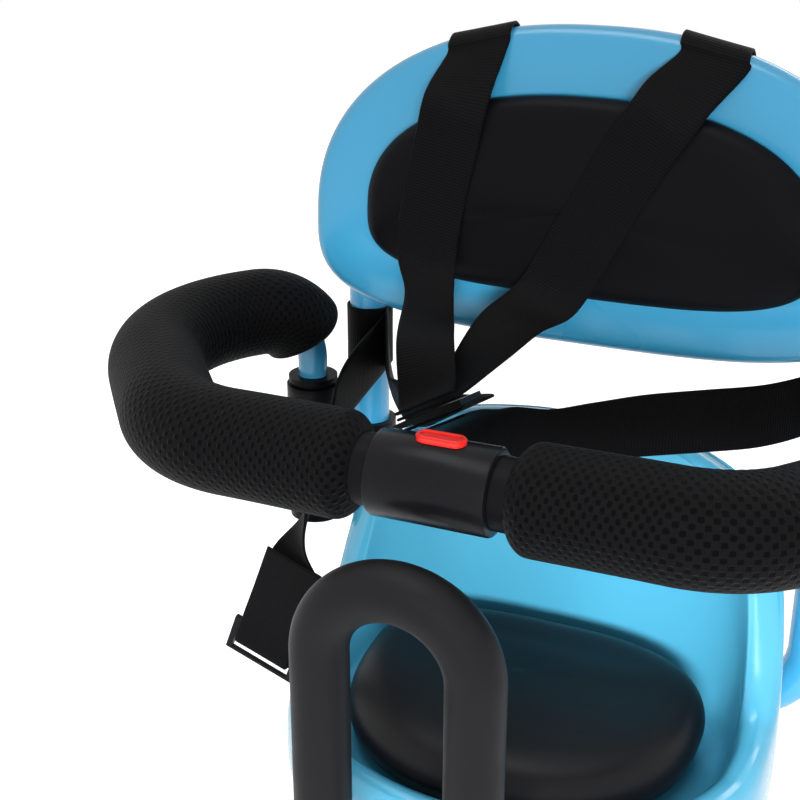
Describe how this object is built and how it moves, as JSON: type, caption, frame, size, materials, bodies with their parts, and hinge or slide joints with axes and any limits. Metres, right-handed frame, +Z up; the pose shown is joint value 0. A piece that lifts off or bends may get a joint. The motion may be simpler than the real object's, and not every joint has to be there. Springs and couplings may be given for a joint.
{
  "type": "child bike seat",
  "caption": "Rack-mounted child seat with a moulded seat and padded back, a grab handle in front and a padded guard rail that opens at a middle clasp with a release button.",
  "frame": {"origin": "centre of the base plate's underside", "axes": "+Z up, +X to the child's left, -Y the way the child faces"},
  "size_m": [0.4672, 0.3287, 0.4647],
  "materials": {
    "blue_plastic": "smooth moulded plastic, glossy",
    "blue_paint": "gloss powder coat",
    "black_paint": "satin powder coat",
    "cushion_fabric": "fine knit over soft foam",
    "sleeve_mesh": "open spacer mesh over foam",
    "grip_foam": "closed-cell foam, matt skin",
    "black_plastic": "fine moulded texture",
    "clasp_plastic": "satin moulded plastic",
    "red_plastic": "smooth moulded plastic",
    "zinc_steel": "zinc plated",
    "webbing": "ribbed polyester webbing"
  },
  "bodies": {
    "seat": {"seat_shell": "blue_plastic", "seat_cushion": "cushion_fabric", "backrest": "blue_plastic", "back_cushion": "cushion_fabric", "back_hoop": "blue_paint", "back_bolts": "zinc_steel", "main_frame": "black_paint", "handle_grip": "grip_foam", "rail_plugs": "black_plastic", "hoop_caps": "black_plastic", "seat_bolts": "zinc_steel", "guard_post_left": "black_paint", "guard_post_right": "black_paint", "post_bush_left": "black_plastic", "post_bush_right": "black_plastic", "shoulder_strap_left": "webbing", "shoulder_strap_right": "webbing", "waist_strap_left": "webbing", "waist_strap_right": "webbing", "centre_slider": "clasp_plastic", "waist_slider": "clasp_plastic"},
    "guard_left": {"guard_tube_left": "blue_paint", "sleeve_left": "sleeve_mesh", "clasp_body": "clasp_plastic", "collar_left": "black_plastic", "button_spring": "zinc_steel"},
    "guard_right": {"guard_tube_right": "blue_paint", "sleeve_right": "sleeve_mesh", "collar_right": "black_plastic"},
    "button": {"release_button": "red_plastic", "latch_slider": "zinc_steel"}
  },
  "joints": [
    {"name": "guard_left_hinge", "type": "hinge", "parent": "seat", "child": "guard_left", "pos_m": [-0.16494, 0.07579, 0.25], "axis": [0, 0, -1], "range_deg": [0, 85]},
    {"name": "guard_right_hinge", "type": "hinge", "parent": "seat", "child": "guard_right", "pos_m": [0.16494, 0.07579, 0.25], "axis": [0, 0, 1], "range_deg": [0, 85]},
    {"name": "release_button", "type": "slide", "parent": "guard_left", "child": "button", "axis": [0, 0, -1], "range_m": [0, 0.003], "stiffness_N_per_m": 400, "deforming": ["button_spring"]}
  ]
}
